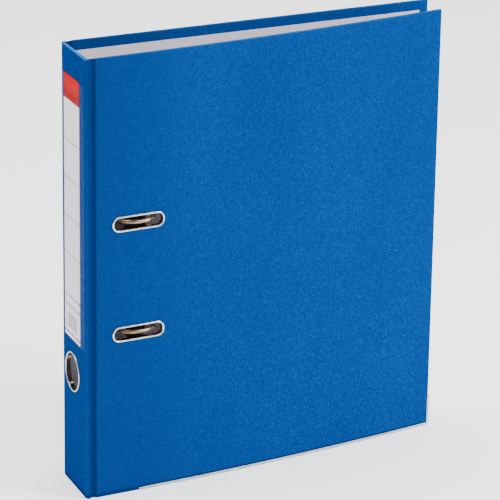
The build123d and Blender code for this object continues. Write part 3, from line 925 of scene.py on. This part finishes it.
@dataclass(frozen=True)
class Finishes:
    """One of each shared material, ready to assign."""

    coating: bpy.types.Material
    lining: bpy.types.Material
    board: bpy.types.Material
    nickel: bpy.types.Material
    arch: bpy.types.Material
    rail: bpy.types.Material
    plate: bpy.types.Material
    wire: bpy.types.Material
    plastic: bpy.types.Material
    film: bpy.types.Material

    @classmethod
    def mix_all(cls) -> "Finishes":
        """Builds every shared finish.

        Returns:
            The set of finishes.
        """
        return cls(
            coating=EmbossedCoating().make(),
            lining=LiningPaper().make(),
            board=Greyboard().make(),
            nickel=PlatedSteel().make(),
            arch=PlatedSteel("satin_arch_wire_nickel", "#9a866f", "#6f5f50", (0.26, 0.38)).make(),
            rail=PlatedSteel("rolled_rail_steel", "#bcbdbf", "#8f9092", (0.2, 0.32), 1.0, (6.5, 1.0, 1.0)).make(),
            plate=PlatedSteel("zinc_plated_sheet", "#b4b7ba", "#93979b", (0.25, 0.4), 3.3).make(),
            wire=PlatedSteel("drawn_spring_wire", "#8d8f92", "#6c6e71", (0.25, 0.35)).make(),
            plastic=MouldedPlastic().make(),
            film=WeldedFilm().make(),
        )


def dress(piece: bpy.types.Object, finish: bpy.types.Material, body: Body | None, slot: Slot,
          *nodes: str) -> None:
    """Gives a new piece its material and its place in the frame.

    Args:
        piece: The piece.
        finish: Its material.
        body: The body that it rides on, or None for a piece that spans two bodies, which is left unattached.
        slot: The record's material slot; not used.
        *nodes: CAD nodes that it replaces.
    """
    piece.data.materials.clear()
    piece.data.materials.append(finish)
    if body:
        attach(piece, body.value)
    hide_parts(*nodes)
    log.info("built %s, %s", piece.name, finish.name)


def repaint(finish: bpy.types.Material, *nodes: str) -> None:
    """Gives CAD nodes a better material.

    Args:
        finish: The material.
        *nodes: The nodes' names.
    """
    for node in nodes:
        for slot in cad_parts[node].material_slots:
            slot.material = finish
        log.info("repainted %s, %s", node, finish.name)


# ---- sub-assemblies ------------------------------------------------------------------------------------


@dataclass(frozen=True)
class Covers:
    """The wrapped boards, joined by flexible hinges, and the lining paper inside them."""

    shape: FileShape
    seam: float = 41.5  # where the two wraps meet on the spine, from the back corner
    strip: float = 2.9
    groove: float = 1.55
    hinge: float = 0.6
    corner_round: float = 2.8
    corner_steps: int = 8
    fore_round: float = 0.7
    edge: float = 0.3
    board_inset: float = 3.4
    turn_in: float = 7.0
    sheet: float = 0.12
    sunk: float = 0.04  # how far a sheet sits in its board, so that no gap shows
    cover_steps: int = 40

    def hinge_depths(self) -> list[tuple[float, float, float]]:
        """Lists the hinge's section: distance from the spine, outer depth and inner depth.

        Returns:
            The three values at each step.
        """
        s, g, c = self.strip, self.groove, self.shape.cover
        inner = g + self.hinge
        return [
            (s, 0.08, c), (s + 0.3, 0.4, c - 0.02), (s + 0.6, 0.9, inner + 0.15), (s + 1.0, 1.32, inner),
            (s + 1.7, g, inner), (s + 2.5, g - 0.03, inner), (s + 3.2, g - 0.25, inner),
            (s + 3.9, 0.85, inner + 0.1), (s + 4.5, 0.42, c - 0.02), (s + 5.2, 0.14, c), (s + 6.2, 0.0, c),
        ]

    def corner(self, spine_side: Place, cover_side: Place) -> list[Pair]:
        """Rounds the corner between the spine and a cover.

        Args:
            spine_side: Gives a place by distance from the corner along the spine, and depth.
            cover_side: Gives a place by distance from the corner along the cover, and depth.

        Returns:
            Pairs of outer and inner points.
        """
        radius, cover = self.corner_round, self.shape.cover
        pairs = [(spine_side(6.0, 0), spine_side(6.0, cover)), (spine_side(3.5, 0), spine_side(4.4, cover))]
        centre = cover_side(radius, radius)
        one, two = spine_side(radius, 0) - centre, cover_side(radius, 0) - centre
        inner = spine_side(cover, cover)
        for step in range(self.corner_steps + 1):
            t = step / self.corner_steps
            way = (one * (1 - t) + two * t).normalized() * radius
            pairs.append((centre + way, spine_side(3.4 - t, cover).lerp(inner, t)))
        return pairs

    def fore_edge(self, place: Place) -> list[Pair]:
        """Rounds a cover's fore edge.

        Args:
            place: Gives a place on the cover by distance from the spine, and depth.

        Returns:
            Pairs of outer and inner points.
        """
        radius, width, cover = self.fore_round, self.shape.cover_width, self.shape.cover
        pairs = []
        for degrees in (0, 22.5, 45, 67.5, 90):
            angle = math.radians(degrees)
            along = width - radius + radius * math.sin(angle)
            depth = radius * (1 - math.cos(angle))
            pairs.append((place(along, depth), place(along, cover - depth)))
        return pairs

    def wrap(self, name: str, spine_side: Place, cover_side: Place, reach: float) -> bpy.types.Object:
        """Builds the wrap from the seam on the spine to a cover's fore edge.

        Args:
            name: Name of the object.
            spine_side: Gives a place by distance from the corner along the spine, and depth.
            cover_side: Gives a place on the cover.
            reach: Distance from the corner to the seam.

        Returns:
            The object.
        """
        cover = self.shape.cover
        section = [(spine_side(a, 0), spine_side(a, cover)) for a in (reach, reach * 0.6 + 2.4)]
        section += self.corner(spine_side, cover_side)
        for along, outer, inner in self.hinge_depths():
            section.append((cover_side(along, outer), cover_side(max(along, cover + 0.3), inner)))
        start = self.strip + 6.2
        for step in range(1, self.cover_steps):
            along = start + (self.shape.cover_width - self.fore_round - start) * step / self.cover_steps
            section.append((cover_side(along, 0), cover_side(along, cover)))
        section += self.fore_edge(cover_side)
        return slab(name, section, self.shape.foot, self.shape.height, self.edge)

    def lining(self, name: str, place: Place, start: float, end: float, steps: int) -> bpy.types.Object:
        """Builds a sheet of lining paper on an inner face.

        Args:
            name: Name of the object.
            place: Gives a place by distance along the face, and depth.
            start: Where the sheet starts.
            end: Where it ends.
            steps: Parts along it.

        Returns:
            The object.
        """
        under = self.shape.cover - self.sunk
        stops = [start + (end - start) * step / steps for step in range(steps + 1)]
        section = [(place(along, under), place(along, under + self.sheet)) for along in stops]
        low, high = self.shape.foot + self.turn_in, self.shape.height - self.turn_in
        return slab(name, section, low, high, self.sheet / 4)

    def spine_board(self) -> bpy.types.Object:
        """Builds the spine's board, cut short of the round corners.

        Returns:
            The object.
        """
        shape = self.shape
        stops = (self.board_inset, shape.spine_width / 2, shape.spine_width - self.board_inset)
        section = [(shape.spine(along, 0.4), shape.spine(along, shape.cover - 0.3)) for along in stops]
        return slab("spine_board_cut", section, shape.foot + self.edge, shape.height - self.edge, 0.1)

    def flex(self, piece: bpy.types.Object, cover_side: Place) -> None:
        """Bakes a wrap's transform into its mesh; the hinge's ends are worked out, but nothing bends it.

        Args:
            piece: The wrap.
            cover_side: Gives a place on the cover.
        """
        start, end = cover_side(self.strip, 0) * MM, cover_side(self.shape.hinge_end - 0.5, 0) * MM
        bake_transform(piece)

    def build(self, finishes: Finishes) -> None:
        """Builds the covers.

        Args:
            finishes: The materials.
        """
        shape = self.shape
        width, end = shape.spine_width, shape.cover_width - self.turn_in
        slots, ring = Slots(shape), FingerRing(shape)
        front = self.wrap("front_wrap", shape.spine_from_front, shape.front, width - self.seam)
        back = self.wrap("back_wrap", shape.spine, shape.back, self.seam)
        front_sheet = self.lining("front_lining_sheet", shape.front, 3.0, end, self.cover_steps)
        board = self.spine_board()
        spine_sheet = self.lining("spine_lining_sheet", shape.spine, 2.6, width - 2.6, 6)
        back_sheet = self.lining("back_lining_sheet", shape.back, 3.0, end, 2)
        for piece in (front, front_sheet):
            for height in shape.slot_heights:
                cut(piece, slots.cutter(height))
        for piece in (back, board, spine_sheet):
            cut(piece, ring.cutter())
        dress(board, finishes.board, Body.SPINE, Slot.BOARD, "spine_board")
        dress(front, finishes.coating, None, Slot.COATING, "front_covering", "front_hinge_strip", "spine_covering")
        dress(back, finishes.coating, None, Slot.COATING, "back_covering", "back_hinge_strip")
        self.flex(front, shape.front)
        self.flex(back, shape.back)
        dress(front_sheet, finishes.lining, Body.FRONT, Slot.LINING, "front_lining")
        dress(spine_sheet, finishes.lining, Body.SPINE, Slot.LINING, "spine_lining")
        dress(back_sheet, finishes.lining, Body.BACK, Slot.LINING, "back_lining")
        repaint(finishes.board, "front_board", "back_board")


@dataclass(frozen=True)
class RolledEyelet:
    """The section of a rolled eyelet."""

    width: float
    rise: float
    wall: float = 0.5
    flank: float = 0.12
    reach: float = 6.0

    def profile(self, barrel: float) -> list[tuple[float, float]]:
        """Draws the section.

        Args:
            barrel: Depth of the barrel under the face.

        Returns:
            Distances out of the opening and heights over the face.
        """
        points = [(0.0, -barrel), (0.0, -barrel * 0.5), (0.0, -0.2)]
        for degrees in range(180, -1, -15):
            angle = math.radians(degrees)
            out = self.width / 2 * (1 + math.cos(angle))
            points.append((out, self.flank + (self.rise - self.flank) * math.sin(angle)))
        outer = self.wall * 0.95
        return points + [(self.width - 0.15, 0.01), (outer, 0.01), (outer, -barrel)]

    def cutter(self, opening: Opening, place: Matrix) -> bpy.types.Object:
        """Builds the solid that the barrel replaces.

        Args:
            opening: The opening.
            place: Its axes.

        Returns:
            The object.
        """
        out = self.wall * 0.9
        return opening.sweep("cutter", [(out, -self.reach), (out, self.reach)], False, place)


@dataclass(frozen=True)
class Slots:
    """The two slots in the front cover, each with a rolled eyelet."""

    shape: FileShape
    opening: Opening = Opening(36.6, 8.5, 3.9, 14)
    eyelet: RolledEyelet = RolledEyelet(width=1.55, rise=0.95)

    def cutter(self, height: float) -> bpy.types.Object:
        """Builds the solid that an eyelet's barrel replaces.

        Args:
            height: Height of the slot's middle.

        Returns:
            The object.
        """
        return self.eyelet.cutter(self.opening, self.shape.slot_frame(height))

    def build(self, finishes: Finishes) -> None:
        """Builds the eyelets.

        Args:
            finishes: The materials.
        """
        profile = self.eyelet.profile(self.shape.cover + 0.6)
        heights = self.shape.slot_heights
        plating = PlatedSteel("rolled_eyelet_nickel").make(self.shape.slot_frame(heights[0]))
        for name, height in zip(("upper", "lower"), heights):
            piece = self.opening.sweep(name + "_eyelet", profile, True, self.shape.slot_frame(height), 50.0)
            dress(piece, plating, Body.FRONT, Slot.NICKEL, name + "_slot_eyelet")
        repaint(finishes.nickel, "upper_slot_backing", "lower_slot_backing")


@dataclass(frozen=True)
class FingerRing:
    """The rolled ring in the spine that the file is pulled out by."""

    shape: FileShape
    along: float = 21.7
    height: float = 85.7
    opening: Opening = Opening(26.6, 26.6, 13.3, 24)
    eyelet: RolledEyelet = RolledEyelet(width=1.15, rise=0.62)

    def cutter(self) -> bpy.types.Object:
        """Builds the solid that the ring's barrel replaces.

        Returns:
            The object.
        """
        return self.eyelet.cutter(self.opening, self.shape.spine_frame(self.along, self.height))

    def build(self, finishes: Finishes) -> None:
        """Builds the ring.

        Args:
            finishes: The materials.
        """
        profile = self.eyelet.profile(self.shape.cover + 0.6)
        place = self.shape.spine_frame(self.along, self.height)
        ring = self.opening.sweep("finger_ring_rolled", profile, True, place, 50.0)
        dress(ring, PlatedSteel("rolled_ring_nickel").make(place), Body.SPINE, Slot.NICKEL, "finger_ring")
        repaint(finishes.nickel, "finger_ring_washer")


@dataclass(frozen=True)
class Label:
    """The spine label in its pocket of clear film."""

    shape: FileShape
    middle: float = 23.25
    width: float = 30.9
    low: float = 110.3
    height: float = 189.0
    corner: float = 0.6
    card: float = 0.3
    lift: float = 0.16
    pocket_width: float = 46.0
    pocket_low: float = 109.1
    play: float = 0.4
    flat: float = 0.14
    channel: float = 0.78
    film: float = 0.1
    weld: float = 1.1

    def film_height(self, along: float, up: float) -> float:
        """Gives the film's height over the spine.

        Args:
            along: Distance from the back corner.
            up: Height over the pocket's bottom.

        Returns:
            The height of the film's upper face.
        """
        inside = self.width / 2 + self.play + self.weld - abs(along - self.middle)
        rise = min(max(min(inside, up) / self.weld, 0.0), 1.0)
        return self.flat + (self.channel - self.flat) * rise * rise * (3 - 2 * rise)

    def pocket(self, on_spine: Matrix) -> bpy.types.Object:
        """Builds the pocket's film, welded flat at both sides and at the bottom.

        Args:
            on_spine: The spine's axes.

        Returns:
            The object.
        """
        slope = [self.weld * k / 5 for k in range(6)]
        reach = self.width / 2 + self.play
        first, last = ((self.shape.spine_width + hand * self.pocket_width) / 2 for hand in (-1, 1))
        sides = [self.middle + hand * (reach + step) for hand in (-1, 1) for step in slope]
        stops = sorted([first, first + 0.4, self.middle, last - 0.4, last] + sides)
        ups = slope + [self.height * k / 8 for k in range(1, 9)]
        across, along_up = len(stops) - 1, len(ups) - 1
        mesh = bmesh.new()
        bmesh.ops.create_grid(mesh, x_segments=across, y_segments=along_up, size=0.5)
        for point in mesh.verts:
            along = stops[round((point.co.x + 0.5) * across)]
            up = ups[round((point.co.y + 0.5) * along_up)]
            point.co = (along, self.pocket_low + up, self.film_height(along, up))
        under = bmesh.ops.extrude_face_region(mesh, geom=mesh.faces[:])["geom"]
        bmesh.ops.translate(mesh, verts=points_in(under), vec=(0, 0, -self.film))
        bmesh.ops.transform(mesh, matrix=on_spine, verts=mesh.verts)
        return to_object("label_pocket_film", mesh)

    def build(self, finishes: Finishes) -> None:
        """Builds the label and its pocket.

        Args:
            finishes: The materials.
        """
        on_spine = self.shape.spine_frame(0, 0)
        outline = Opening(self.width, self.height, self.corner, 5)
        place = on_spine @ Matrix.Translation((self.middle, self.low + self.height / 2, 0))
        side = [(0.0, self.lift), (0.0, self.lift + self.card)]
        card = outline.sweep("label_sheet", side, False, place)
        printed = LabelPrint(self.low, self.low + self.height, self.middle)
        dress(card, printed.make(on_spine.inverted()), Body.LABEL, Slot.LABEL, "label_card")
        dress(self.pocket(on_spine), finishes.film, Body.SPINE, Slot.FILM, "label_pocket")


@dataclass(frozen=True)
class Mechanism:
    """The lever arch mechanism on the back cover."""

    shape: FileShape
    ring: float = 40.0
    post_x: float = 52.5
    rod_x: float = 23.0
    rod_h: float = 7.5
    top: float = 45.4
    end: float = 30.4
    crank_z: float = 14.0
    crank: tuple[float, float] = (15.5314, 10.3669)
    bends: tuple[float, ...] = (13.0, 13.0, 4.0, 3.0, 3.0)
    nose: tuple[tuple[float, float], ...] = ((1.5, 0.72), (1.35, 0.95), (0.75, 1.3), (0.0, 1.6))
    spring: tuple[float, float] = (16.8, 22.4)
    coil: float = 2.4
    spring_wire: float = 0.45
    turns: float = 5.5

    def arches(self) -> bpy.types.Object:
        """Bends the arch wire: two arches, their rod and its crank.

        Returns:
            The object.
        """
        at = self.shape.mechanism
        half = [
            at(self.post_x, self.end, self.ring), at(self.post_x, self.top, self.ring),
            at(self.rod_x, self.top, self.ring), at(self.rod_x, self.rod_h, self.ring),
            at(self.rod_x, self.rod_h, self.crank_z), at(*self.crank, self.crank_z),
        ]
        middle = self.shape.mechanism_height * MM
        other = [Vector((p.x, p.y, 2 * middle - p.z)) for p in reversed(half)]
        radii = [MM * r for r in self.bends + self.bends[::-1]]
        nose = [(reach * MM, radius * MM) for reach, radius in self.nose]
        return WireBender(28, 12).bend("arch_wire_bent", half + other, radii, nose)

    def build(self, finishes: Finishes) -> None:
        """Builds the arch wire and its spring, and finishes the CAD pieces.

        Args:
            finishes: The materials.
        """
        dress(self.arches(), finishes.arch, Body.ARCHES, Slot.NICKEL, "arch_wire")
        low, high = (self.shape.mechanism(self.rod_x, self.rod_h, z) for z in self.spring)
        start = self.shape.mechanism(self.rod_x + self.coil, self.rod_h, self.spring[0])
        spring = WireBender(10, 20).coil("arch_spring_coil", low, start, high.z - low.z, self.turns,
                                         self.spring_wire * MM)
        dress(spring, finishes.wire, None, Slot.SPRING, "arch_spring")
        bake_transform(spring)
        repaint(finishes.plate, "base_plate")
        repaint(finishes.nickel, "upper_post", "lower_post", "plate_rivets", "lever_pin", "lever_arm", "roller_axle")
        repaint(finishes.plastic, "roller", "compressor_bar", "compressor_bushes")


@dataclass(frozen=True)
class Rails:
    """The steel rails along the bottom edges."""

    nodes: tuple[str, str] = ("front_edge_rail", "back_edge_rail")

    def build(self, finishes: Finishes) -> None:
        """Finishes the rails.

        Args:
            finishes: The materials.
        """
        repaint(finishes.rail, *self.nodes)


# ---- studio ----------------------------------------------------------------------------------------------


@dataclass(frozen=True)
class SoftLight:
    """A square softbox."""

    name: str
    at: Size
    aim: Size
    size: float
    power: float

    def build(self) -> None:
        """Adds the light."""
        data = bpy.data.lights.new(self.name, "AREA")
        data.shape, data.size, data.energy = "SQUARE", self.size, self.power
        lamp = bpy.data.objects.new(self.name, data)
        lamp.location = self.at
        way = Vector(self.aim) - Vector(self.at)
        lamp.rotation_euler = way.to_track_quat("-Z", "Y").to_euler()
        bpy.context.scene.collection.objects.link(lamp)


@dataclass(frozen=True)
class Studio:
    """White sweep, softboxes and camera."""

    azimuth: float = math.radians(-26.829)
    elevation: float = math.radians(19.371)
    distance: float = 2.122
    aim: Size = (-0.0073, 0.0, 0.1569)
    roll: float = math.radians(0.850)
    lens: float = 216.3
    world: float = 0.95
    shaded: float = 0.5
    fall: tuple[float, float] = (-0.8, 0.5)
    floor: str = "#fafafa"
    floor_half: float = 12.0
    fibre: float = 2.5
    glow: float = 0.9
    lamps: tuple[SoftLight, ...] = (
        SoftLight("key_softbox", (1.5, -1.3, 1.5), (0.1, 0.0, 0.2), 1.0, 91.0),
        SoftLight("top_softbox", (-0.2, 0.3, 2.0), (0.0, 0.0, 0.1), 1.4, 40.0),
        SoftLight("spine_softbox", (-0.65, 0.25, 0.8), (-0.14, 0.0, 0.28), 0.4, 2.6),
    )

    def camera(self) -> None:
        """Adds the camera."""
        data = bpy.data.cameras.new("camera")
        data.lens, data.sensor_width, data.clip_end = self.lens, 36.0, 50.0
        level = math.cos(self.elevation)
        back = Vector((math.sin(self.azimuth) * level, -math.cos(self.azimuth) * level, math.sin(self.elevation)))
        side = Vector((0, 0, 1)).cross(back).normalized()
        turn = Matrix((side, back.cross(side), back)).transposed() @ Matrix.Rotation(self.roll, 3, "Z")
        eye = bpy.data.objects.new("camera", data)
        eye.matrix_world = Matrix.Translation(Vector(self.aim) + back * self.distance) @ turn.to_4x4()
        bpy.context.scene.collection.objects.link(eye)
        bpy.context.scene.camera = eye

    def surroundings(self) -> None:
        """Adds the white surroundings, darker on the spine's side."""
        world = bpy.data.worlds.new("white_studio")
        world.use_nodes = True
        tree = world.node_tree
        sky = tree.nodes["Background"]
        sky.inputs["Color"].default_value = colour("#ffffff")
        way = tree.nodes.new("ShaderNodeTexCoord")
        parts = tree.nodes.new("ShaderNodeSeparateXYZ")
        fall = tree.nodes.new("ShaderNodeMapRange")
        values = (*self.fall, self.shaded, self.world)
        for key, value in zip(("From Min", "From Max", "To Min", "To Max"), values):
            fall.inputs[key].default_value = value
        tree.links.new(way.outputs["Generated"], parts.inputs["Vector"])
        tree.links.new(parts.outputs["X"], fall.inputs["Value"])
        tree.links.new(fall.outputs["Result"], sky.inputs["Strength"])
        bpy.context.scene.world = world

    def sweep_paper(self) -> bpy.types.Material:
        """Builds the floor's material.

        Returns:
            The material.
        """
        # Glows a little, as a lit white sweep does.
        recipe = Recipe("white_sweep_paper")
        add = recipe.add
        at = add("Mapping", Vector=add("TexCoord", out="Object"), Scale=per_size())
        fibre = add("TexNoise", Vector=at, Scale=1 / self.fibre, Detail=3.0, Roughness=0.5)
        matt = add("MapRange", SMOOTH, fibre, 0.3, 0.7, 0.85, 0.95)
        white = colour(self.floor)
        recipe.coat(Base_Color=white, Roughness=matt, Emission_Color=white, Emission_Strength=self.glow)
        return recipe.material

    def build(self) -> None:
        """Adds the camera, the lights and the floor."""
        self.camera()
        self.surroundings()
        for lamp in self.lamps:
            lamp.build()
        mesh = bmesh.new()
        bmesh.ops.create_grid(mesh, x_segments=8, y_segments=8, size=self.floor_half)
        floor = to_object("floor", mesh)
        floor.data.materials.append(self.sweep_paper())


def main() -> None:
    """Builds the file over its frame."""
    logging.basicConfig(level=logging.INFO, format="%(message)s")
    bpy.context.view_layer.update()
    Studio().build()
    shape = FileShape()
    finishes = Finishes.mix_all()
    for part in (Covers(shape), Slots(shape), FingerRing(shape), Label(shape), Mechanism(shape), Rails()):
        part.build(finishes)


if __name__ == "__main__":
    main()
